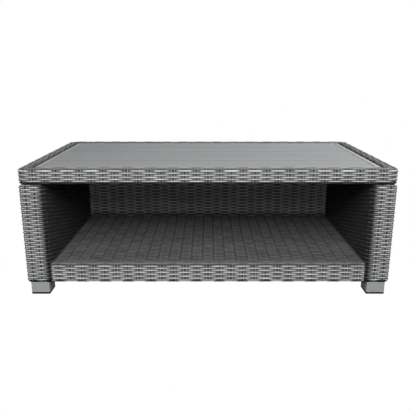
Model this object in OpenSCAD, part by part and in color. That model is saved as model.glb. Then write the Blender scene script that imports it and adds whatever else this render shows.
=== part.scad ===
// Outdoor coffee table: aluminium frames in woven resin covers, a slatted top and an open front shelf.
// Millimetres. +X is the table's right, +Y its back, +Z up.
// The origin is on the floor under the table's centre.

/* [Table] */
// Overall width, along X
table_w = 1000; // [800:10:1300]
// Overall depth, along Y
table_d = 550; // [450:10:700]
// Overall height
table_h = 352; // [320:1:460]
// Thickness of a woven cover
weave_t = 3; // [3:0.5:5]
// Rounding of a woven cover's edges
weave_r = 9; // [7:1:10]
// Wall of every frame tube
tube_wall = 1.5; // [1.2:0.1:2]

/* [Top] */
// Height of the woven rim
rim_h = 42; // [38:1:50]
// Width of the woven rim
rim_w = 33; // [30:1:45]
// Rounding of the rim's corners, seen from above
rim_corner_r = 26; // [20:1:29]
// Open joint between the rim and the slat tray
tray_gap = 6; // [4:0.5:10]
// Width of the tray's rails
tray_rail_w = 12; // [10:1:16]
// How far the slats lie below the rim's top
slat_drop = 2.5; // [1:0.5:4]
// Number of slats
slat_count = 5; // [4:1:8]
// Open joint between two slats
slat_gap = 3.4; // [2:0.2:3.8]
// Open joint between the slats and the tray's rails
slat_end_gap = 3; // [2:0.5:3.5]
// Thickness of a slat
slat_t = 10; // [9:1:12]

/* [Sides, back and shelf] */
// Thickness of a side panel
side_t = 68; // [60:1:80]
// How far the panels stand in from the rim
panel_inset = 3; // [1:1:10]
// Thickness of the back panel
back_t = 52; // [44:1:60]
// Thickness of the shelf
shelf_t = 55; // [48:1:70]

/* [Feet] */
// Height of a foot with its glide
foot_h = 35; // [30:1:60]
// Width of a square foot
foot_w = 50; // [40:1:56]
// Wall of a foot
foot_wall = 2; // [2:0.5:3]
// Visible height of the plastic glide under a foot
glide_h = 5; // [4:1:8]

/* [Hidden] */
$fn = 48;
clearance = 0.05;
overcut = 1;
half_w = table_w / 2;
half_d = table_d / 2;
rim_z = table_h - rim_h;
panel_h = rim_z - foot_h;
panel_y = half_d - panel_inset;
side_x = half_w - panel_inset - side_t / 2;
bay_x = side_x - side_t / 2;
back_y = panel_y - back_t / 2;
bay_y = panel_y - back_t;
shelf_d = bay_y + panel_y;
shelf_y = (bay_y - panel_y) / 2;
frame_tube = 20;
frame_corner_r = 4;
boss_r = 8;
vent_r = 2;

slat_z = table_h - slat_drop - slat_t;
tray_x = half_w - rim_w - tray_gap;
tray_y = half_d - rim_w - tray_gap;
slats_x = tray_x - tray_rail_w - slat_end_gap;
slats_y = tray_y - tray_rail_w - slat_end_gap;
slat_w = (2 * slats_y - (slat_count - 1) * slat_gap) / slat_count;
slat_edge_r = 1.5;
groove_w = 2;
groove_side = groove_w / sqrt(2);
ledge_w = 20;
ledge_t = 8;
tray_z = slat_z - ledge_t;
batten_w = 30;
bearer_h = 15;
bearer_z = tray_z - bearer_h;
bearer_w = 30;
end_bearer_w = 34;
bearer_x = 150;
end_bearer_x = half_w - rim_w - end_bearer_w / 2;
spacer_w = 24;
spacer_d = 16;
rim_tube_w = rim_w - 2 * weave_t;
rim_tube_h = rim_h - 2 * weave_t;
rim_tube_x = half_w - weave_t;
rim_tube_y = half_d - weave_t;
rim_tube_r = rim_corner_r - weave_t;
bearer_l = 2 * (rim_tube_y - rim_tube_w);

foot_inset = 4;
foot_x = side_x;
foot_y = panel_y - foot_inset - foot_w / 2;
foot_top_t = 3;
foot_corner_r = 2;
glide_plug_h = 10;

m8_r = 4;
m8_head_r = 8;
m6_r = 3;
m6_head_r = 5.4;
m6_access_r = 7;
bolt_head_h = 4;
screw_r = 2;
screw_head_r = 4;
countersink_h = 2.2;
round_head_h = 2;
slat_bite = 6;
tray_bite = 6;
hole_end_room = 1;
plate_t = 2.5;
plate_l = 80;
plate_w = 25;
plate_hole_x = 25;
side_plate_y = [-160, 80];
back_plate_x = 200;

side_bolt_y = 200;
back_bolt_shift = 12;
back_bolt_y = back_y - back_bolt_shift;
top_bolt_spots = [
    for (sx = [-1, 1], sy = [-1, 1]) [sx * end_bearer_x, sy * side_bolt_y],
    for (sx = [-1, 1]) [sx * bearer_x, back_bolt_y]
];
foot_spots = [for (sx = [-1, 1], sy = [-1, 1]) [sx * foot_x, sy * foot_y]];
side_plate_spots = [for (sx = [-1, 1], y = side_plate_y) [sx * bay_x, y]];
back_plate_spots = [for (sx = [-1, 1]) [sx * back_plate_x, bay_y]];
plate_screw_spots = concat(
    [for (p = side_plate_spots, dx = [-1, 1]) [p[0] + dx * plate_hole_x, p[1]]],
    [for (p = back_plate_spots, dy = [-1, 1]) [p[0], p[1] + dy * plate_hole_x]]
);
slat_centres = [for (i = [0 : slat_count - 1]) -slats_y + slat_w / 2 + i * (slat_w + slat_gap)];
slat_end_screw_x = tray_x - tray_rail_w - ledge_w / 2;
slat_screw_x = [-slat_end_screw_x, -bearer_x, bearer_x, slat_end_screw_x];
slat_screw_offsets = [-slat_w / 4, slat_w / 4];
tray_screw_shift = 8;
tray_screw_y = slats_y / 2 + tray_screw_shift;
tray_screw_x = [bearer_x, end_bearer_x - tray_screw_shift];
tray_screw_spots = [for (sx = [-1, 1], x = tray_screw_x, sy = [-1, 1]) [sx * x, sy * tray_screw_y]];

// ---- shared shapes ----

// Box given by its centre in X and Y and its lowest Z
module block(x, y, z, size) {
    translate([x - size[0] / 2, y - size[1] / 2, z])
        cube(size);
}

// Outline with four rounded corners, centred
module rounded_rect(w, h, r) {
    square([w - 2 * r, h], center = true);
    square([w, h - 2 * r], center = true);
    for (sx = [-1, 1], sy = [-1, 1])
        translate([sx * (w / 2 - r), sy * (h / 2 - r)])
            circle(r);
}

// Closed box with every edge rounded, standing on z; its upright edges may have their own radius
module soft_block(x, y, z, size, r, upright_r) {
    translate([x, y, z])
        intersection() {
            linear_extrude(size[2])
                rounded_rect(size[0], size[1], upright_r);
            translate([0, size[1] / 2, size[2] / 2])
                rotate([90, 0, 0])
                    linear_extrude(size[1])
                        rounded_rect(size[0], size[2], r);
            translate([-size[0] / 2, 0, size[2] / 2])
                rotate([90, 0, 90])
                    linear_extrude(size[0])
                        rounded_rect(size[1], size[2], r);
        }
}

// Hollow woven cover of a panel
module woven_box(x, y, z, size) {
    difference() {
        soft_block(x, y, z, size, weave_r, weave_r);
        block(x, y, z + weave_t, size - 2 * weave_t * [1, 1, 1]);
    }
}

// Welded loop of box tube in the XY plane, hollow, with a vent in each long side
module tube_loop(size_x, size_y, tube_w, tube_h, corner_r) {
    window_x = size_x - 2 * tube_w;
    window_y = size_y - 2 * tube_w;
    difference() {
        linear_extrude(tube_h)
            rounded_rect(size_x, size_y, corner_r);
        block(0, 0, -overcut, [window_x, window_y, tube_h + 2 * overcut]);
        difference() {
            translate([0, 0, tube_wall])
                linear_extrude(tube_h - 2 * tube_wall)
                    rounded_rect(size_x - 2 * tube_wall, size_y - 2 * tube_wall, corner_r - tube_wall);
            block(0, 0, 0, [window_x + 2 * tube_wall, window_y + 2 * tube_wall, tube_h]);
        }
        for (s = [-1, 1])
            translate([0, s * window_y / 2, tube_h / 2])
                rotate([90, 0, 0])
                    cylinder(r = vent_r, h = 4 * tube_wall, center = true);
    }
}

// Straight box tube along Y, open at both ends
module tube_y(x, y0, y1, z, w, h) {
    difference() {
        translate([x - w / 2, y0, z])
            cube([w, y1 - y0, h]);
        translate([x - w / 2 + tube_wall, y0 - overcut, z + tube_wall])
            cube([w - 2 * tube_wall, y1 - y0 + 2 * overcut, h - 2 * tube_wall]);
    }
}

// Upright round hole or solid
module upright(spot, z, h, r) {
    translate([spot[0], spot[1], z])
        cylinder(r = r, h = h);
}

// Countersunk screw pointing up, its head flush with z
module countersunk(spot, z, length, grow = 0) {
    translate([spot[0], spot[1], z])
        cylinder(r1 = screw_head_r + grow, r2 = screw_r + grow, h = countersink_h);
    upright(spot, z, length + grow, screw_r + grow);
}

// ---- top ----

module top_frame() {
    color("gainsboro")
        translate([0, 0, rim_z + weave_t])
            tube_loop(2 * rim_tube_x, 2 * rim_tube_y, rim_tube_w, rim_tube_h, rim_tube_r);
}

module bearer(x, w) {
    color("gainsboro")
        difference() {
            tube_y(x, -bearer_l / 2, bearer_l / 2, bearer_z, w, bearer_h);
            for (p = top_bolt_spots) {
                upright(p, bearer_z - overcut, bearer_h, m6_r + clearance);
                upright(p, bearer_z + bearer_h / 2, bearer_h, m6_access_r);
            }
            for (p = tray_screw_spots)
                upright(p, bearer_z - overcut, bearer_h + 2 * overcut, screw_r + clearance);
        }
}

// One side of the rim's cover, cut on the mitre at both ends
module rim_weave(turn, size_x, size_y) {
    half_x = size_x / 2;
    half_y = size_y / 2;
    color("darkgray")
        difference() {
            intersection() {
                soft_block(0, 0, rim_z, [table_w, table_d, rim_h], weave_r, rim_corner_r);
                rotate([0, 0, turn])
                    translate([0, 0, rim_z])
                        linear_extrude(rim_h)
                            polygon([
                                [-half_x, -half_y],
                                [half_x, -half_y],
                                [half_x - rim_w, -half_y + rim_w],
                                [-half_x + rim_w, -half_y + rim_w]
                            ]);
            }
            difference() {
                translate([0, 0, rim_z + weave_t])
                    linear_extrude(rim_tube_h)
                        rounded_rect(2 * rim_tube_x, 2 * rim_tube_y, rim_tube_r);
                block(0, 0, rim_z, [
                    2 * (rim_tube_x - rim_tube_w),
                    2 * (rim_tube_y - rim_tube_w),
                    rim_h
                ]);
            }
            for (s = [-1, 1]) {
                block(s * bearer_x, 0, bearer_z, [bearer_w, bearer_l, bearer_h]);
                block(s * end_bearer_x, 0, bearer_z, [end_bearer_w, bearer_l, bearer_h]);
            }
        }
}

// Long rail of the slat tray, mitred
module tray_rail_long(sy) {
    color("silver")
        translate([0, 0, tray_z])
            linear_extrude(ledge_t + slat_t)
                polygon([
                    [-tray_x, sy * tray_y],
                    [tray_x, sy * tray_y],
                    [tray_x - tray_rail_w, sy * (tray_y - tray_rail_w)],
                    [-tray_x + tray_rail_w, sy * (tray_y - tray_rail_w)]
                ]);
}

// Short rail of the slat tray, mitred, with a ledge under the slat ends
module tray_rail_short(sx) {
    inner_x = tray_x - tray_rail_w;
    inner_y = tray_y - tray_rail_w;
    color("silver")
        difference() {
            union() {
                translate([0, 0, tray_z])
                    linear_extrude(ledge_t + slat_t)
                        polygon([
                            [sx * tray_x, -tray_y],
                            [sx * tray_x, tray_y],
                            [sx * inner_x, inner_y],
                            [sx * inner_x, -inner_y]
                        ]);
                block(sx * (inner_x - ledge_w / 2), 0, tray_z, [ledge_w, 2 * slats_y, ledge_t]);
            }
            slat_screw_holes();
            tray_screw_holes();
        }
}

module tray_batten(x) {
    color("silver")
        difference() {
            block(x, 0, tray_z, [batten_w, 2 * (tray_y - tray_rail_w), ledge_t]);
            slat_screw_holes();
            tray_screw_holes();
        }
}

module slat(i) {
    y = slat_centres[i];
    top = slat_z + slat_t;
    color("slategray")
        difference() {
            translate([-slats_x, y, slat_z])
                rotate([90, 0, 90])
                    linear_extrude(2 * slats_x)
                        slat_section();
            translate([0, y, top])
                rotate([45, 0, 0])
                    cube([2 * (slats_x + overcut), groove_side, groove_side], center = true);
            slat_screw_holes();
        }
}

// Section of a slat, with small bevels along its upper edges
module slat_section() {
    half = slat_w / 2;
    polygon([
        [-half, 0],
        [half, 0],
        [half, slat_t - slat_edge_r],
        [half - slat_edge_r, slat_t],
        [-half + slat_edge_r, slat_t],
        [-half, slat_t - slat_edge_r]
    ]);
}

module slat_screw_holes() {
    for (x = slat_screw_x, y = slat_centres, dy = slat_screw_offsets)
        countersunk([x, y + dy], tray_z, ledge_t + slat_bite, clearance);
}

module slat_screws() {
    color("dimgray")
        for (x = slat_screw_x, y = slat_centres, dy = slat_screw_offsets)
            countersunk([x, y + dy], tray_z, ledge_t + slat_bite);
}

module tray_screw_holes() {
    for (p = tray_screw_spots)
        upright(p, tray_z - overcut, tray_bite + hole_end_room + overcut, screw_r + clearance);
}

module tray_screws() {
    color("dimgray")
        for (p = tray_screw_spots) {
            upright(p, bearer_z, bearer_h + tray_bite, screw_r);
            upright(p, bearer_z - round_head_h, round_head_h, screw_head_r);
        }
}

// ---- panels ----

module bosses(spots, z) {
    for (p = spots)
        upright(p, z, frame_tube, boss_r);
}

module boss_bores(spots, z, r) {
    for (p = spots)
        upright(p, z - overcut, frame_tube + 2 * overcut, r + clearance);
}

// Loop of box tube standing in the YZ plane, with threaded bosses for the feet and the top
module side_frame(sx) {
    inner_h = panel_h - 2 * weave_t;
    inner_d = 2 * (panel_y - weave_t);
    tube_across = side_t - 2 * weave_t;
    low = foot_h + weave_t;
    high = low + inner_h - frame_tube;
    feet = [for (p = foot_spots) if (p[0] * sx > 0) p];
    tops = [for (p = top_bolt_spots) if (p[0] * sx > bay_x) p];
    color("gainsboro")
        difference() {
            union() {
                translate([sx * side_x - tube_across / 2, 0, low + inner_h / 2])
                    rotate([90, 0, 90])
                        tube_loop(inner_d, inner_h, frame_tube, tube_across, frame_corner_r);
                bosses(feet, low);
                bosses(tops, high);
            }
            boss_bores(feet, low, m8_r);
            boss_bores(tops, high, m6_r);
        }
}

module side_weave(sx) {
    color("darkgray")
        difference() {
            woven_box(sx * side_x, 0, foot_h, [side_t, 2 * panel_y, panel_h]);
            for (p = foot_spots)
                upright(p, foot_h - overcut, weave_t + 2 * overcut, m8_r + clearance);
            for (p = top_bolt_spots)
                upright(p, rim_z - weave_t - overcut, weave_t + 2 * overcut, m6_r + clearance);
            plate_screw_holes();
        }
}

module back_frame() {
    inner_h = panel_h - 2 * weave_t;
    inner_w = 2 * (bay_x - weave_t);
    tube_across = back_t - 2 * weave_t;
    low = foot_h + weave_t;
    high = low + inner_h - frame_tube;
    tops = [for (p = top_bolt_spots) if (abs(p[0]) < bay_x) p];
    color("gainsboro")
        difference() {
            union() {
                translate([0, back_y + tube_across / 2, low + inner_h / 2])
                    rotate([90, 0, 0])
                        tube_loop(inner_w, inner_h, frame_tube, tube_across, frame_corner_r);
                bosses(tops, high);
            }
            boss_bores(tops, high, m6_r);
        }
}

module back_weave() {
    color("darkgray")
        difference() {
            woven_box(0, back_y, foot_h, [2 * bay_x, back_t, panel_h]);
            for (p = top_bolt_spots)
                upright(p, rim_z - weave_t - overcut, weave_t + 2 * overcut, m6_r + clearance);
            plate_screw_holes();
        }
}

// Loop of box tube with three cross tubes that carry the woven shelf
module shelf_frame() {
    inner_w = 2 * (bay_x - weave_t);
    inner_d = shelf_d - 2 * weave_t;
    tube_h = shelf_t - 2 * weave_t;
    color("gainsboro")
        translate([0, shelf_y, foot_h + weave_t]) {
            tube_loop(inner_w, inner_d, frame_tube, tube_h, frame_corner_r);
            for (i = [-1 : 1])
                tube_y(
                    i * inner_w / 4,
                    -inner_d / 2 + frame_tube,
                    inner_d / 2 - frame_tube,
                    0,
                    frame_tube,
                    tube_h
                );
        }
}

module shelf_weave() {
    color("darkgray")
        difference() {
            woven_box(0, shelf_y, foot_h, [2 * bay_x, shelf_d, shelf_t]);
            plate_screw_holes();
        }
}

// ---- feet ----

module foot(spot) {
    tube_h = foot_h - glide_h;
    color("lightsteelblue")
        translate([spot[0], spot[1], glide_h])
            difference() {
                linear_extrude(tube_h)
                    rounded_rect(foot_w, foot_w, foot_corner_r);
                block(0, 0, -overcut, [
                    foot_w - 2 * foot_wall,
                    foot_w - 2 * foot_wall,
                    tube_h - foot_top_t + overcut
                ]);
                cylinder(r = m8_r + clearance, h = tube_h + overcut);
            }
}

module glide(spot) {
    plug_w = foot_w - 2 * foot_wall;
    color("black")
        translate([spot[0], spot[1], 0])
            difference() {
                union() {
                    linear_extrude(glide_h)
                        rounded_rect(foot_w, foot_w, foot_corner_r);
                    block(0, 0, 0, [plug_w, plug_w, glide_h + glide_plug_h]);
                }
                block(0, 0, glide_h, [
                    plug_w - 2 * foot_wall,
                    plug_w - 2 * foot_wall,
                    glide_plug_h + overcut
                ]);
            }
}

// ---- fasteners ----

module foot_bolts() {
    head_z = foot_h - foot_top_t - bolt_head_h;
    color("dimgray")
        for (p = foot_spots) {
            upright(p, head_z, bolt_head_h, m8_head_r);
            upright(p, head_z, bolt_head_h + foot_top_t + weave_t + frame_tube, m8_r);
        }
}

module top_spacers() {
    color("black")
        difference() {
            for (p = top_bolt_spots)
                block(p[0], p[1], rim_z, [spacer_w, spacer_d, bearer_z - rim_z]);
            for (p = top_bolt_spots)
                upright(p, rim_z - overcut, bearer_z - rim_z + 2 * overcut, m6_r + clearance);
        }
}

module top_bolts() {
    head_z = bearer_z + tube_wall;
    shank_z = rim_z - weave_t - frame_tube;
    color("dimgray")
        for (p = top_bolt_spots) {
            upright(p, head_z, bolt_head_h, m6_head_r);
            upright(p, shank_z, head_z - shank_z + bolt_head_h, m6_r);
        }
}

// Screws of the plates under the shelf
module plate_screw_holes() {
    for (p = plate_screw_spots)
        upright(p, foot_h - overcut, weave_t + 2 * overcut, screw_r + clearance);
}

module joining_plates() {
    z = foot_h - plate_t;
    color("gray")
        difference() {
            union() {
                for (p = side_plate_spots)
                    block(p[0], p[1], z, [plate_l, plate_w, plate_t]);
                for (p = back_plate_spots)
                    block(p[0], p[1], z, [plate_w, plate_l, plate_t]);
            }
            for (p = plate_screw_spots)
                upright(p, z - overcut, plate_t + 2 * overcut, screw_r + clearance);
        }
}

module plate_screws() {
    z = foot_h - plate_t;
    color("dimgray")
        for (p = plate_screw_spots) {
            upright(p, z - round_head_h, round_head_h, screw_head_r);
            upright(p, z - round_head_h, round_head_h + plate_t + weave_t, screw_r);
        }
}

// ---- nodes ----

top_frame();
bearer(-end_bearer_x, end_bearer_w);  // bearer_left_end
bearer(-bearer_x, bearer_w);  // bearer_left
bearer(bearer_x, bearer_w);  // bearer_right
bearer(end_bearer_x, end_bearer_w);  // bearer_right_end
rim_weave(0, table_w, table_d);  // rim_weave_front
rim_weave(180, table_w, table_d);  // rim_weave_back
rim_weave(-90, table_d, table_w);  // rim_weave_left
rim_weave(90, table_d, table_w);  // rim_weave_right
tray_rail_long(-1);  // tray_rail_front
tray_rail_long(1);  // tray_rail_back
tray_rail_short(-1);  // tray_rail_left
tray_rail_short(1);  // tray_rail_right
tray_batten(-bearer_x);  // tray_batten_left
tray_batten(bearer_x);  // tray_batten_right
slat(0);  // slat_1
slat(1);  // slat_2
slat(2);  // slat_3
slat(3);  // slat_4
slat(4);  // slat_5
slat_screws();
tray_screws();
side_frame(-1);  // left_side_frame
side_frame(1);  // right_side_frame
side_weave(-1);  // left_side_weave
side_weave(1);  // right_side_weave
back_frame();
back_weave();
shelf_frame();
shelf_weave();
foot([-foot_x, -foot_y]);  // foot_front_left
foot([foot_x, -foot_y]);  // foot_front_right
foot([-foot_x, foot_y]);  // foot_back_left
foot([foot_x, foot_y]);  // foot_back_right
glide([-foot_x, -foot_y]);  // glide_front_left
glide([foot_x, -foot_y]);  // glide_front_right
glide([-foot_x, foot_y]);  // glide_back_left
glide([foot_x, foot_y]);  // glide_back_right
foot_bolts();
top_spacers();
top_bolts();
joining_plates();
plate_screws();
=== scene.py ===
"""Wicker coffee table: woven resin covers, slatted top, satin feet. Metres; CAD nodes stay as packed."""

import math

import bpy
import numpy as np
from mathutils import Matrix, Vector


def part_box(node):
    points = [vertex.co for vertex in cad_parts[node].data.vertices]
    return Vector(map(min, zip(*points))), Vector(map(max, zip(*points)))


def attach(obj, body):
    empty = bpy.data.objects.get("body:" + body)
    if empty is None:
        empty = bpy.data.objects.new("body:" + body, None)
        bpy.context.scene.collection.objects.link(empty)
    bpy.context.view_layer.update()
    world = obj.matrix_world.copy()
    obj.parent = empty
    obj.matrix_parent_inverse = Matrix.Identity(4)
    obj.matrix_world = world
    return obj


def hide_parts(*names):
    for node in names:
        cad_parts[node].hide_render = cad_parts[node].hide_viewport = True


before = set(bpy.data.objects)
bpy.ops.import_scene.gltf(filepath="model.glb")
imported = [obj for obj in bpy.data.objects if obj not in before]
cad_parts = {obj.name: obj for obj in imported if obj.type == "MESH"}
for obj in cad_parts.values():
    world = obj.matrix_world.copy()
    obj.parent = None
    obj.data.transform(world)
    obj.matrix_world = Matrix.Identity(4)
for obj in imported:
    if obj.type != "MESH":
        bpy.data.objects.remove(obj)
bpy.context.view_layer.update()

MM = 0.001
DEEP = 3.5 * MM  # depth under a cover's outer face at which the spacing of strands is measured
SHADE_SHEET = 2.9 * MM  # depth of the near-black sheet inside a cover, which paints the shade there
R = 6.5 * MM  # rounding of the covers' edges: tight enough for the strands to lie over the tubes' corners


# ---- places on the table ----

RIM_NODES = ("rim_weave_front", "rim_weave_back", "rim_weave_left", "rim_weave_right")
RIM_W = 33 * MM
RIM_CORNER_R = 26 * MM  # seen from above
RIM_INNER_R = 5 * MM  # rounding of its inner edges


def corner_box(*nodes):
    boxes = [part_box(n) for n in nodes]
    lo = Vector([min(b[0][i] for b in boxes) for i in range(3)])
    hi = Vector([max(b[1][i] for b in boxes) for i in range(3)])
    return lo, hi


rim_lo, rim_hi = corner_box(*RIM_NODES)
tray_x, tray_y = rim_hi.x - RIM_W, rim_hi.y - RIM_W  # inner faces of the rim
panel_lo, panel_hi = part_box("right_side_weave")
shelf_lo, shelf_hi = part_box("shelf_weave")
back_lo, back_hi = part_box("back_weave")


# ---- camera, floor and light ----


def aim(obj, at, target):
    obj.location = at
    obj.rotation_euler = (Vector(target) - Vector(at)).to_track_quat("-Z", "Y").to_euler()


def area_light(name, at, target, size, watts, gloss=True):
    data = bpy.data.lights.new(name, "AREA")
    data.shape = "RECTANGLE"
    data.size, data.size_y = size
    data.energy = watts
    lamp = bpy.data.objects.new(name, data)
    lamp.visible_glossy = gloss
    aim(lamp, at, target)
    bpy.context.scene.collection.objects.link(lamp)


LENS = 43.1  # mm, on a sensor 36 mm wide
CAMERA_AT = (0, -1.540, 0.591)
CAMERA_DIP = 15.15  # degrees below level
FLOOR_HALF = 40.0
AMBIENT = 0.06  # light from the white surroundings, which the camera sees at full strength


def make_studio():
    scene = bpy.context.scene
    scene.view_settings.view_transform = "Standard"
    camera = bpy.data.objects.new("camera", bpy.data.cameras.new("camera"))
    camera.data.sensor_width = 36
    camera.data.lens = LENS
    camera.data.clip_end = 200
    camera.location = CAMERA_AT
    camera.rotation_euler = (math.radians(90 - CAMERA_DIP), 0, 0)
    scene.collection.objects.link(camera)
    scene.camera = camera

    world = bpy.data.worlds.new("studio")
    scene.world = world
    world.use_nodes = True
    tree = world.node_tree
    tree.nodes.clear()
    out = tree.nodes.new("ShaderNodeOutputWorld")
    mix = tree.nodes.new("ShaderNodeMixShader")
    path = tree.nodes.new("ShaderNodeLightPath")
    seen = tree.nodes.new("ShaderNodeBackground")
    seen.inputs["Color"].default_value = (1, 1, 1, 1)
    seen.inputs["Strength"].default_value = 1.0
    lit = tree.nodes.new("ShaderNodeBackground")
    lit.inputs["Color"].default_value = (1, 1, 1, 1)
    lit.inputs["Strength"].default_value = AMBIENT
    tree.links.new(path.outputs["Is Camera Ray"], mix.inputs["Fac"])
    tree.links.new(lit.outputs[0], mix.inputs[1])
    tree.links.new(seen.outputs[0], mix.inputs[2])
    tree.links.new(mix.outputs[0], out.inputs["Surface"])

    mesh = bpy.data.meshes.new("floor")
    s = FLOOR_HALF
    mesh.from_pydata([(-s, -s, 0), (s, -s, 0), (s, s, 0), (-s, s, 0)], [], [(0, 1, 2, 3)])
    floor = bpy.data.objects.new("floor", mesh)
    scene.collection.objects.link(floor)
    floor.visible_diffuse = False
    floor.visible_glossy = False
    pale = bpy.data.materials.new("pale_floor")
    pale.use_nodes = True
    shader = pale.node_tree.nodes["Principled BSDF"]
    shader.inputs["Base Color"].default_value = (0, 0, 0, 1)
    shader.inputs["Roughness"].default_value = 1
    shader.inputs["Specular IOR Level"].default_value = 0
    shader.inputs["Emission Color"].default_value = (1, 1, 1, 1)
    shader.inputs["Emission Strength"].default_value = 1.0
    mesh.materials.append(pale)

    # name, place, target, size, watts
    area_light("key", (0, -2.1, 1.2), (0, 0, 0.25), (1.0, 0.5), 14)
    area_light("mid", (0, -2.0, 1.8), (0, -0.2, 0.25), (1.6, 1.4), 62)
    area_light("fill", (0, -2.6, 0.42), (0, 0, 0.2), (0.8, 0.5), 7)
    area_light("top", (1.5, 0.5, 1.9), (0.1, 0, 0.35), (1.4, 1.4), 60)
    area_light("left", (-2.4, 0.6, 1.1), (0, 0, 0.2), (1.0, 1.0), 10, gloss=False)
    area_light("right", (2.4, 0.6, 1.1), (0, 0, 0.2), (1.0, 1.0), 10, gloss=False)
    area_light("back", (0, 2.6, 0.8), (0, 0, 0.2), (1.6, 0.8), 48, gloss=False)


# ---- materials ----


class Nodes:
    """Short names for building one material's node tree."""

    def __init__(self, name):
        self.material = bpy.data.materials.new(name)
        self.material.use_nodes = True
        self.tree = self.material.node_tree
        self.shader = self.tree.nodes["Principled BSDF"]

    def add(self, kind, **values):
        node = self.tree.nodes.new("ShaderNode" + kind)
        for key, value in values.items():
            setattr(node, key, value)
        return node

    def link(self, source, target):
        self.tree.links.new(source, target)

    def maths(self, operation, a, b=0.0):
        node = self.add("Math", operation=operation)
        for socket, value in zip(node.inputs, (a, b)):
            if hasattr(value, "is_output"):
                self.link(value, socket)
            else:
                socket.default_value = value
        return node.outputs[0]

    def stretched(self, scale, coords=None):
        """Coordinates, the object's own if none are given, scaled along each axis."""
        source = coords or self.add("TexCoord").outputs["Object"]
        node = self.add("Mapping")
        node.inputs["Scale"].default_value = scale
        self.link(source, node.inputs["Vector"])
        return node.outputs[0]

    def noise(self, coords, scale, detail, roughness=0.55):
        node = self.add("TexNoise")
        self.link(coords, node.inputs["Vector"])
        node.inputs["Scale"].default_value = scale
        node.inputs["Detail"].default_value = detail
        node.inputs["Roughness"].default_value = roughness
        return node.outputs["Fac"]

    def ramp(self, factor, stops):
        node = self.add("ValToRGB")
        points = node.color_ramp.elements
        while len(points) < len(stops):
            points.new(0.5)
        for point, (place, colour) in zip(points, stops):
            point.position = place
            point.color = (*colour, 1)
        self.link(factor, node.inputs["Fac"])
        return node.outputs["Color"]

    def spread(self, factor, low, high):
        """A noise, most of which lies between 0.3 and 0.7, spread between two values."""
        node = self.add("MapRange")
        self.link(factor, node.inputs["Value"])
        node.inputs["From Min"].default_value = 0.3
        node.inputs["From Max"].default_value = 0.7
        node.inputs["To Min"].default_value = low
        node.inputs["To Max"].default_value = high
        return node.outputs["Result"]

    def colour(self, socket):
        self.link(socket, self.shader.inputs["Base Color"])

    def roughness(self, socket):
        self.link(socket, self.shader.inputs["Roughness"])

    def bump(self, height, distance, strength):
        node = self.add("Bump")
        node.inputs["Strength"].default_value = strength
        node.inputs["Distance"].default_value = distance
        self.link(height, node.inputs["Height"])
        self.link(node.outputs["Normal"], self.shader.inputs["Normal"])

    def multiply(self, colour, factor):
        """Two colours multiplied; 6, 7 and 2 are the Mix node's colour sockets."""
        node = self.add("Mix", data_type="RGBA", blend_type="MULTIPLY")
        node.inputs["Factor"].default_value = 1
        self.link(colour, node.inputs[6])
        self.link(factor, node.inputs[7])
        return node.outputs[2]


STREAK_RATE = 22.0  # streaks to the metre, roughly
STRANDS_APART = 171.0  # keeps the streaks of one strand unlike the next one's
STREAK_BREADTH = 0.9  # change of a streak from the middle of a strand to its edge
RIB_RATE = 13.0  # fine ribs across a strand


def resin(name, dark, mid, light):
    """Variegated grey strand: streaks run along it, every strand has its own tone; the mesh's shade
    attribute paints shade into the colour, and the places painted dark are duller.
    """
    n = Nodes(name)
    strand = n.add("Attribute", attribute_name="strand").outputs["Vector"]
    parts = n.add("SeparateXYZ")
    n.link(strand, parts.inputs[0])
    along, seed, across = parts.outputs
    place = n.add("CombineXYZ")
    n.link(n.maths("MULTIPLY", along, STREAK_RATE), place.inputs[0])
    n.link(n.maths("MULTIPLY", seed, STRANDS_APART), place.inputs[1])
    n.link(n.maths("MULTIPLY", across, STREAK_BREADTH), place.inputs[2])
    n.shader.inputs["Specular IOR Level"].default_value = 0.22
    streak = n.noise(place.outputs[0], 1.0, 4.0, 0.62)
    colour = n.ramp(streak, [(0.30, dark), (0.5, mid), (0.70, light)])
    tone = n.spread(n.noise(n.stretched((0.0, 1.0, 0.0), strand), 97.0, 0.0), 0.92, 1.07)
    # painted shade: the shade attribute, times the strand's own random tone
    shade = n.maths("MULTIPLY", tone, n.add("Attribute", attribute_name="shade").outputs["Fac"])
    grey = n.add("CombineXYZ")
    for i in range(3):
        n.link(shade, grey.inputs[i])
    n.colour(n.multiply(colour, grey.outputs[0]))
    # roughness rises where shade is painted dark, dimming highlights there
    dull = n.maths("SUBTRACT", 1.0, n.maths("MULTIPLY", shade, 0.8))
    n.roughness(n.maths("MAXIMUM", n.spread(streak, 0.36, 0.56), dull))
    rib = n.maths("SINE", n.maths("MULTIPLY", across, RIB_RATE))
    height = n.maths("ADD", n.maths("MULTIPLY", rib, 0.5), n.noise(place.outputs[0], 9.0, 2.0))
    n.bump(height, 0.2 * MM, 0.4)
    return n.material


def satin_metal(name, base, metallic, low, high, grain):
    """Satin metal, its fine grain drawn out along the axis with the smallest scale."""
    n = Nodes(name)
    coords = n.stretched(grain)
    fine = n.noise(coords, 60.0, 4.0)
    soft = n.noise(n.stretched((1, 1, 1)), 9.0, 2.0)
    mixed = n.maths("ADD", n.maths("MULTIPLY", fine, 0.6), n.maths("MULTIPLY", soft, 0.4))
    shade = n.spread(mixed, 0.92, 1.06)
    n.colour(tinted(n, base, shade))
    n.roughness(n.spread(fine, low, high))
    n.shader.inputs["Metallic"].default_value = metallic
    n.bump(fine, 0.12 * MM, 0.3)


def tinted(n, base, shade):
    """A plain colour times a factor, channel by channel."""
    out = n.add("CombineColor")
    for i in range(3):
        n.link(n.maths("MULTIPLY", shade, base[i]), out.inputs[i])
    return out.outputs[0]


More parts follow.
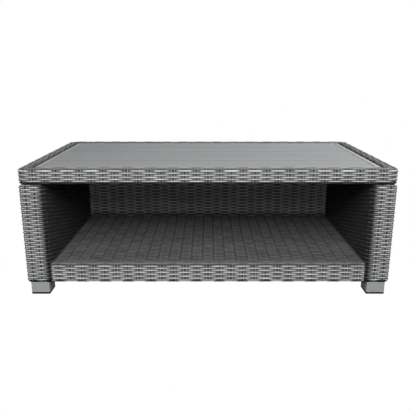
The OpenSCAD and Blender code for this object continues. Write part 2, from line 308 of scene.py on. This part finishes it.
def composite(name):
    """Slat: satin grey with a fine grain along X; painted shade darkens the faces that don't look up:
    bevels, grooves and the sides between slats.
    """
    n = Nodes(name)
    grain = n.noise(n.stretched((1.2, 60.0, 60.0)), 14.0, 5.0, 0.6)
    cloud = n.noise(n.stretched((1.0, 3.0, 3.0)), 4.0, 2.0)
    mixed = n.maths("ADD", n.maths("MULTIPLY", grain, 0.65), n.maths("MULTIPLY", cloud, 0.35))
    shade = n.spread(mixed, 0.93, 1.06)
    facing = n.add("SeparateXYZ")
    n.link(n.add("NewGeometry").outputs["Normal"], facing.inputs[0])
    # painted shade by facing: colour falls to 0.35 on faces turned away from up
    flat = n.add("MapRange")
    n.link(facing.outputs[2], flat.inputs["Value"])
    flat.inputs["From Min"].default_value = 0.5
    flat.inputs["From Max"].default_value = 0.98
    flat.inputs["To Min"].default_value = 0.35
    n.colour(tinted(n, (0.212, 0.220, 0.223), n.maths("MULTIPLY", shade, flat.outputs["Result"])))
    n.roughness(n.spread(grain, 0.38, 0.5))
    n.bump(grain, 0.15 * MM, 0.35)


def plastic(name, base):
    """Dull black: plastic, a frame's coat, or the near-black sheet that paints the shade inside a cover."""
    n = Nodes(name)
    n.shader.inputs["Specular IOR Level"].default_value = 0.06
    speck = n.noise(n.stretched((1, 1, 1)), 900.0, 2.0)
    n.colour(tinted(n, base, n.spread(speck, 0.85, 1.15)))
    n.roughness(n.spread(speck, 0.45, 0.6))
    n.bump(speck, 0.1 * MM, 0.3)
    return n.material


# ---- shape of the covers ----


ARC_POINTS = 19  # points round a section's corner
ARC_STATIONS = 6  # stations of a strand round a ring's corner
LEAST_R = 0.5 * MM  # of a ring's corner, however deep


class Section:
    """Outline of a cover's section: p points outwards, q up. Lengths run along it at depth DEEP."""

    def __init__(self, corners, closed=True):
        """corners: (p, q, radius), counter-clockwise with the outside on the right-hand side of travel."""
        points, normals = [], []
        count = len(corners)
        for i, (p, q, r) in enumerate(corners):
            here = np.array([p, q])
            before = np.array(corners[i - 1][:2]) if closed or i else None
            after = np.array(corners[(i + 1) % count][:2]) if closed or i < count - 1 else None
            if before is None or after is None:
                way = after - here if before is None else here - before
                way = way / np.linalg.norm(way)
                out = np.array([way[1], -way[0]])
                points.append(here - out * DEEP)
                normals.append(out)
                continue
            a = (here - before) / np.linalg.norm(here - before)
            b = (after - here) / np.linalg.norm(after - here)
            na, nb = np.array([a[1], -a[0]]), np.array([b[1], -b[0]])
            centre = here - a * r + b * r
            for t in np.linspace(0, math.pi / 2, ARC_POINTS):
                out = na * math.cos(t) + nb * math.sin(t)
                points.append(centre + out * (r - DEEP))
                normals.append(out)
        if closed:
            points.append(points[0])
            normals.append(normals[0])
        points = np.array(points)
        steps = np.linalg.norm(np.diff(points, axis=0), axis=1)
        self.at = np.concatenate([[0], np.cumsum(steps + 1e-9)])
        self.length = self.at[-1]
        self.points, self.normals, self.closed = points, np.array(normals), closed

    def on(self, v, table):
        """Both columns of a table of the outline's points or normals, at length v."""
        v = np.mod(v, self.length) if self.closed else np.clip(v, 0, self.length)
        return [np.interp(v, self.at, table[:, i]) for i in (0, 1)]

    def up(self, v):
        """How much the outer face looks up at length v, from -1 to 1."""
        return self.on(v, self.normals)[1]

    def __call__(self, v, h):
        """Points p, q at length v and height h above the outer face (negative is deeper)."""
        spot, normal = self.on(v, self.points), self.on(v, self.normals)
        size = np.hypot(*normal)
        return [spot[i] + normal[i] / size * (h + DEEP) for i in (0, 1)]


class Straight:
    """Strands along X from -half to half; the section's p points to the front."""

    def __init__(self, half):
        self.length, self.half, self.closed = 2 * half, half, False

    def stations(self, step):
        return np.linspace(0, self.length, round(self.length / step) + 1)

    def __call__(self, u, p, q):
        return np.stack([u - self.half, -p, q], axis=-1)


class Ring:
    """Strands round a rounded rectangle, seen from above; the section's p is 0 on it and points outwards."""

    def __init__(self, centre_x, half_x, half_y, radius):
        self.x, self.hx, self.hy, self.r = centre_x, half_x, half_y, radius
        self.arc = (radius - DEEP) * math.pi / 2
        sides = [2 * (half_x - radius), self.arc, 2 * (half_y - radius), self.arc] * 2
        self.at = np.concatenate([[0], np.cumsum(sides)])
        self.length, self.closed = self.at[-1], True

    def stations(self, step):
        out = []
        for i in range(8):
            a, b = self.at[i], self.at[i + 1]
            n = ARC_STATIONS if i % 2 else max(1, round((b - a) / step))
            out.append(np.linspace(a, b, n, endpoint=False))
        return np.concatenate(out)

    def __call__(self, u, p, q):
        u = np.mod(u, self.length)
        i = np.clip(np.searchsorted(self.at, u, "right") - 1, 0, 7)
        t = (u - self.at[i]) / (self.at[i + 1] - self.at[i])
        side = i // 2
        r = np.maximum(self.r + p, LEAST_R)
        sx, sy = self.hx + p - r, self.hy + p - r
        turn = (side - 1) * (math.pi / 2)
        nx, ny = np.cos(turn), np.sin(turn)  # outward normal of the straight side
        tx, ty = -ny, nx
        half = np.where(side % 2 == 0, sx, sy)
        reach = np.where(side % 2 == 0, self.hy, self.hx) + p
        flat_x, flat_y = nx * reach + tx * (2 * t - 1) * half, ny * reach + ty * (2 * t - 1) * half
        angle = turn + t * math.pi / 2
        cx, cy = (nx + tx), (ny + ty)
        round_x, round_y = np.sign(cx) * sx + np.cos(angle) * r, np.sign(cy) * sy + np.sin(angle) * r
        corner = i % 2 == 1
        x, y = np.where(corner, round_x, flat_x), np.where(corner, round_y, flat_y)
        return np.stack([self.x + x, y, q + 0 * u], axis=-1)


# ---- strands ----


WAVES = 4  # sines in a random offset


def wander(rng, count, at, length, waves, size):
    """For each of count strands, a smooth random offset along it that closes on itself."""
    out = np.zeros((count, len(at)))
    for _ in range(WAVES):
        k = rng.integers(waves[0], waves[1], size=(count, 1))
        out += np.sin(2 * math.pi * (k * at[None, :] / length + rng.random((count, 1))))
    return out * size / 2


def ease(x):
    x = np.clip(x, 0, 1)
    return x * x * (3 - 2 * x)


# The functions below give painted shade: the share of the light that reaches a place, from 0 to 1, painted
# into the strands' colour.
SHELF_FADE, WALL_FADE = 14 * MM, 8 * MM  # how fast it falls off into the bay
EDGE_SHADE = 21 * MM  # how far the bay's shade reaches onto the panels' front faces


def bay_light(points):
    """Painted shade: less light in the open bay, towards its back, and on the panels' edges beside it."""
    x, y, z = np.abs(points[..., 0]), points[..., 1], points[..., 2]
    wall = x > panel_lo.x - 1 * MM
    front = y < panel_lo.y + R
    depth = np.where(
        wall,
        np.maximum(y - panel_lo.y - R, 0) + np.clip(panel_lo.x + EDGE_SHADE - x, 0, EDGE_SHADE),
        y - shelf_lo.y,
    )
    least = np.where(wall, 0.16, 0.11 + 0.07 * np.clip(depth / (back_lo.y - shelf_lo.y), 0, 1))
    least = np.where(wall & front, 0.1, least)
    share = least + (1 - least) * np.exp(-np.maximum(depth, 0) / np.where(wall, WALL_FADE, SHELF_FADE))
    rounding = wall & front & (x > panel_lo.x + R / 3)
    share = share * np.where(rounding, 0.4 + 0.6 * ease((x - panel_lo.x - R) / (5 * MM)), 1)
    inside = (x < panel_lo.x + EDGE_SHADE) & (y < back_lo.y) & (z < back_hi.z)
    inside &= wall | (z > shelf_hi.z - 2 * MM)
    return np.where(inside, share, 1) * nook_light(x, y, z)


def nook_light(x, y, z):
    """Painted shade: less light still in the corner where the shelf meets the back panel."""
    on_back = y > back_lo.y - 2 * MM
    away = np.where(on_back, z - shelf_hi.z, back_lo.y - y)
    near = (x < panel_lo.x) & (z > shelf_hi.z - 2 * MM) & (z < back_hi.z) & (y < back_lo.y + 7 * MM)
    return np.where(near, 1 - 0.8 * np.exp(-np.maximum(away, 0) / (8 * MM)), 1)


def edge_light(points):
    """Painted shade: less light on the rounded upright outer edges of the side panels' front."""
    x, y, z = np.abs(points[..., 0]), points[..., 1], points[..., 2]
    sideways = np.clip((x - panel_hi.x + R) / R, 0, 1)
    forwards = np.clip((panel_lo.y + R - y) / R, 0, 1)
    return np.where(z < back_hi.z, 1 - 1.45 * sideways * forwards, 1)


def joint_light(points):
    """Painted shade: less light in the open joint round the slat tray."""
    x, y, z = np.abs(points[..., 0]), np.abs(points[..., 1]), points[..., 2]
    clear = np.maximum(x - tray_x, y - tray_y)
    return np.where(z > back_hi.z, 0.08 + 0.92 * ease(clear / (7 * MM)), 1)


def low_light(z):
    """Painted shade: less light on the lowest strands of the rim and of the shelf."""
    rim = 0.3 + 0.7 * ease((z - rim_lo.z - 3 * MM) / (8 * MM))
    shelf = 0.1 + 0.9 * ease((z - shelf_lo.z - 2 * MM) / (6 * MM))
    return np.where(z > back_hi.z, rim, shelf)


def strand_shade(points, h, up):
    """Painted shade for a strand's points, multiplied into its colour: darker deep in the weave, on
    undersides, a little on top faces, and by place.
    """
    z = points[..., 2]
    # painted shade in the hollows of the weave, by depth
    sunk = np.clip((-0.25 - h / MM) / 2.5, 0, 1)
    shelf_top = (np.abs(z - shelf_hi.z) < 4 * MM) & (up > 0.9)
    relief = np.where(shelf_top, 0.45, 0.93)
    # painted shade on top faces, stronger on the rim than on the shelf
    top = np.where(z > back_hi.z, 0.6, 0.45)
    turned = (1 - 0.9 * ease(-up / 0.4)) * (1 - top * ease((up - 0.55) / 0.45))
    placed_shade = bay_light(points) * edge_light(points) * joint_light(points) * low_light(z)
    return (1 - relief * sunk**1.5) * turned * placed_shade


def mesh_of_strands(name, points, along, seeds, shade, closed, material):
    """One mesh of ribbons. points is (strand, station, cross point, xyz)."""
    count, n, c, _ = points.shape
    rows = n if closed else n - 1
    s = np.arange(count)[:, None, None] * n * c
    i = np.arange(rows)[None, :, None]
    j = np.arange(c - 1)[None, None, :]
    a = s + i * c + j
    b = s + ((i + 1) % n) * c + j
    quads = np.stack([a, a + 1, b + 1, b], axis=-1).reshape(-1, 4)
    mesh = bpy.data.meshes.new(name)
    mesh.vertices.add(count * n * c)
    mesh.vertices.foreach_set("co", points.astype(np.float32).ravel())
    mesh.loops.add(quads.size)
    mesh.loops.foreach_set("vertex_index", quads.astype(np.int32).ravel())
    mesh.polygons.add(len(quads))
    mesh.polygons.foreach_set("loop_start", np.arange(0, quads.size, 4, dtype=np.int32))
    mesh.polygons.foreach_set("use_smooth", np.ones(len(quads), dtype=bool))
    mesh.update(calc_edges=True)
    strand = np.empty((count, n, c, 3), dtype=np.float32)
    strand[..., 0] = along[:, :, None]
    strand[..., 1] = seeds[:, None, None]
    strand[..., 2] = ACROSS
    mesh.attributes.new("strand", "FLOAT_VECTOR", "POINT").data.foreach_set("vector", strand.ravel())
    # the shade attribute carries painted shade into the strands' colour
    painted_shade_values = mesh.attributes.new("shade", "FLOAT", "POINT").data
    painted_shade_values.foreach_set("value", shade.astype(np.float32).ravel())
    mesh.materials.append(material)
    piece = bpy.data.objects.new(name, mesh)
    bpy.context.scene.collection.objects.link(piece)
    return piece


ACROSS = np.array([-1.0, -0.36, 0.36, 1.0])  # a ribbon's points across it
CROWN = np.array([-1.0, -0.08, -0.08, -1.0])  # and how far each lies below its ridge

WEFT_TOP = -0.15 * MM  # level of a weft that lies over a pair of warps
WEFT_DIP = 2.2 * MM  # how much lower it passes under the next pair
DIP_FROM, DIP_LENGTH = 0.40, 0.46  # how far from a pair it starts to sink, and over what length, in pitches
WEFT_CROWN = 2.3 * MM
WARP_MID, WARP_SWING = -1.85 * MM, 0.75 * MM
WARP_HALF, WARP_CROWN = 1.8 * MM, 1.4 * MM
WARP_APART = 4.0 * MM  # from a pair's centre to each of its warps
# painted shade: warps drawn darker, as they lie sunk between the wefts
WARP_SHADE = 0.78
ROW_STATIONS = 3  # stations of a warp to each row
SEED_SPAN = 9  # strands start their streaks at random places over this length
SHADE_SHEET_STEP = 30 * MM


class Cover:
    """A plain weave: single wefts along a path, pairs of warps along the section that follows it."""

    def __init__(
        self, name, path, section, pairs, pair_from, rows, row_from, seed, step=3.9 * MM, pitch=None
    ):
        """pair_from and row_from place the first pair and row; pitch is between pairs, on an open path."""
        self.name, self.path, self.section, self.step = name, path, section, step
        self.rng = np.random.default_rng(seed)
        if path.closed:
            self.pair_pitch = path.length / pairs
            self.pair_at = pair_from + np.arange(pairs) * self.pair_pitch
        else:
            self.pair_pitch = pitch
            self.pair_at = pair_from + (np.arange(pairs) - (pairs - 1) / 2) * pitch
        self.pair_0 = pair_from
        self.row_pitch = section.length / rows
        self.row_at = row_from + np.arange(rows if section.closed else rows + 1) * self.row_pitch

    def wefts(self, material):
        """Each weft passes over one pair of warps and under the next."""
        u = self.path.stations(self.step)
        rows = len(self.row_at)
        loop = self.path.length
        shift = wander(self.rng, rows, u, loop, (3, 17), 0.3 * MM)
        phase = (u[None, :] + shift - self.pair_0) / self.pair_pitch
        nearest = np.round(phase)
        away = np.abs(phase - nearest)
        over = (nearest + np.arange(rows)[:, None]) % 2 == 0
        low = ease((np.where(over, away, 1 - away) - DIP_FROM) / DIP_LENGTH)
        h = WEFT_TOP - WEFT_DIP * low + wander(self.rng, rows, u, loop, (5, 40), 0.05 * MM)
        v = self.row_at[:, None] + wander(self.rng, rows, u, loop, (2, 30), 0.07 * MM)
        width = 0.5 * self.row_pitch * (0.9 - 0.08 * low)
        vv = v[:, :, None] + width[:, :, None] * ACROSS
        hh = h[:, :, None] + WEFT_CROWN * CROWN
        points = self.place(u[None, :, None] + 0 * vv, vv, hh)
        shade = strand_shade(points, hh, self.section.up(vv))
        along = u[None, :] + self.rng.random((rows, 1)) * SEED_SPAN
        return mesh_of_strands(
            self.name + "_wefts", points, along, self.rng.random(rows), shade, self.path.closed, material
        )

    def warps(self, material):
        """Pairs of narrower strands that show between the wefts."""
        closed = self.section.closed
        n = ROW_STATIONS * round(self.section.length / self.row_pitch)
        v = self.row_at[0] + np.arange(n if closed else n + 1) * self.row_pitch / ROW_STATIONS
        pairs = len(self.pair_at)
        side = np.tile([-1.0, 1.0], pairs)
        at = np.repeat(self.pair_at, 2) + side * WARP_APART
        number = np.repeat(np.arange(pairs) - (0 if self.path.closed else (pairs - 1) // 2), 2)
        swing = np.cos(math.pi * ((v[None, :] - self.row_at[0]) / self.row_pitch + number[:, None]))
        h = WARP_MID - WARP_SWING * swing
        count = len(at)
        across = at[:, None] + wander(self.rng, count, v, self.section.length, (1, 6), 0.25 * MM)
        uu = across[:, :, None] + WARP_HALF * ACROSS
        hh = h[:, :, None] + WARP_CROWN * CROWN
        vv = v[None, :, None] + 0 * uu
        points = self.place(uu, vv, hh)
        shade = WARP_SHADE * strand_shade(points, hh, self.section.up(vv))
        along = v[None, :] + self.rng.random((count, 1)) * SEED_SPAN
        return mesh_of_strands(
            self.name + "_warps", points, along, self.rng.random(count), shade, closed, material
        )

    def shade_sheet(self, material):
        """A near-black sheet at the cover's inner face, which closes the gaps between the strands: painted
        shade for the inside of the cover.
        """
        u = self.path.stations(SHADE_SHEET_STEP)
        v = self.section.at[:-1] if self.section.closed else self.section.at
        uu, vv = np.meshgrid(u, v, indexing="ij")
        points = self.place(uu, vv, -SHADE_SHEET + 0 * uu)
        return sheet(self.name + "_lining", points, self.path.closed, self.section.closed, material)

    def place(self, u, v, h):
        p, q = self.section(v, h)
        return self.path(u, p, q)

    def build(self, nodes, strand_material, shade_sheet_material):
        pieces = (self.wefts(strand_material), self.warps(strand_material), self.shade_sheet(shade_sheet_material))
        for piece in pieces:
            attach(piece, "root")
            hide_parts(*nodes)


def sheet(name, points, closed_u, closed_v, material):
    """One smooth mesh over a grid of points."""
    n, m, _ = points.shape
    a = np.arange(n if closed_u else n - 1)[:, None]
    b = np.arange(m if closed_v else m - 1)[None, :]
    a, a_next = a * m, (a + 1) % n * m
    b, b_next = b, (b + 1) % m
    quads = np.stack([a + b, a + b_next, a_next + b_next, a_next + b], axis=-1).reshape(-1, 4)
    mesh = bpy.data.meshes.new(name)
    mesh.from_pydata(points.reshape(-1, 3).tolist(), [], quads.tolist())
    mesh.polygons.foreach_set("use_smooth", np.ones(len(quads), dtype=bool))
    mesh.materials.append(material)
    mesh.update()
    piece = bpy.data.objects.new(name, mesh)
    bpy.context.scene.collection.objects.link(piece)
    return piece


# ---- the table ----

make_studio()

grey_resin = resin("grey_resin", (0.25, 0.25, 0.252), (0.41, 0.41, 0.412), (0.57, 0.57, 0.57))
# near-black sheet: painted shade for the inside of the covers
inside_shade_black = plastic("inside_shade_black", (0.012, 0.012, 0.013))
composite("slat_grey")
satin_metal("tray_metal", (0.36, 0.37, 0.375), 0.3, 0.34, 0.46, (1, 1, 1))
satin_metal("foot_metal", (0.51, 0.54, 0.56), 0.5, 0.34, 0.46, (12, 12, 0.6))
# near-black frame coat, chosen also to stand in for the shade inside the covers, where the frames show
# through the weave
plastic("frame_coat_and_shade", (0.012, 0.012, 0.013))
satin_metal("plate_metal", (0.30, 0.30, 0.31), 0.5, 0.4, 0.5, (1, 1, 1))
satin_metal("steel", (0.5, 0.5, 0.5), 1.0, 0.28, 0.4, (1, 1, 1))
plastic("black_plastic", (0.004, 0.004, 0.0045))

FINISH = {
    "slat_grey": ("slat_1", "slat_2", "slat_3", "slat_4", "slat_5"),
    "tray_metal": (
        "tray_rail_front", "tray_rail_back", "tray_rail_left", "tray_rail_right",
        "tray_batten_left", "tray_batten_right",
    ),
    "foot_metal": ("foot_front_left", "foot_front_right", "foot_back_left", "foot_back_right"),
    "frame_coat_and_shade": (
        "top_frame", "bearer_left_end", "bearer_left", "bearer_right", "bearer_right_end",
        "left_side_frame", "right_side_frame", "back_frame", "shelf_frame",
    ),
    "plate_metal": ("joining_plates",),
    "steel": ("slat_screws", "tray_screws", "foot_bolts", "top_bolts", "plate_screws"),
    "black_plastic": (
        "glide_front_left", "glide_front_right", "glide_back_left", "glide_back_right", "top_spacers",
    ),
}
for name, nodes in FINISH.items():
    for node in nodes:
        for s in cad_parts[node].material_slots:
            s.material = bpy.data.materials[name]

# Rim of the top
ring = Ring(0, rim_hi.x, rim_hi.y, RIM_CORNER_R)
section = Section([
    (0, rim_lo.z, R), (0, rim_hi.z, R), (-RIM_W, rim_hi.z, RIM_INNER_R), (-RIM_W, rim_lo.z, RIM_INNER_R),
])
Cover(
    "rim", ring, section, pairs=100, pair_from=rim_hi.x - RIM_CORNER_R, rows=22, row_from=23.7 * MM, seed=11,
).build(RIM_NODES, grey_resin, inside_shade_black)

# Side panels
PAIR_SHIFT = 7 * MM  # of the first pair from the middle of the panel's front, outwards
for side, node in ((-1, "left_side_weave"), (1, "right_side_weave")):
    lo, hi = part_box(node)
    half_x, half_y = (hi.x - lo.x) / 2, (hi.y - lo.y) / 2
    ring = Ring((lo.x + hi.x) / 2, half_x, half_y, R)
    section = Section([
        (-half_x, lo.z, 0), (0, lo.z, R), (0, hi.z, R), (-half_x, hi.z, 0),
    ], closed=False)
    Cover(
        node.replace("_weave", ""), ring, section, pairs=52,
        pair_from=half_x - R - side * PAIR_SHIFT, rows=58, row_from=0, seed=23 + side,
        step=3.3 * MM,
    ).build((node,), grey_resin, inside_shade_black)

# Back panel and shelf
PAIR_PITCH = 31.43 * MM
for node, rows, row_from, seed in (("back_weave", 110, 0.0, 37), ("shelf_weave", 182, 27.9 * MM, 41)):
    lo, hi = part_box(node)
    section = Section([(-y, z, R) for y, z in ((lo.y, lo.z), (lo.y, hi.z), (hi.y, hi.z), (hi.y, lo.z))])
    Cover(
        node.replace("_weave", ""), Straight(hi.x), section, pairs=27, pair_from=hi.x, rows=rows,
        row_from=row_from, seed=seed, pitch=PAIR_PITCH,
    ).build((node,), grey_resin, inside_shade_black)
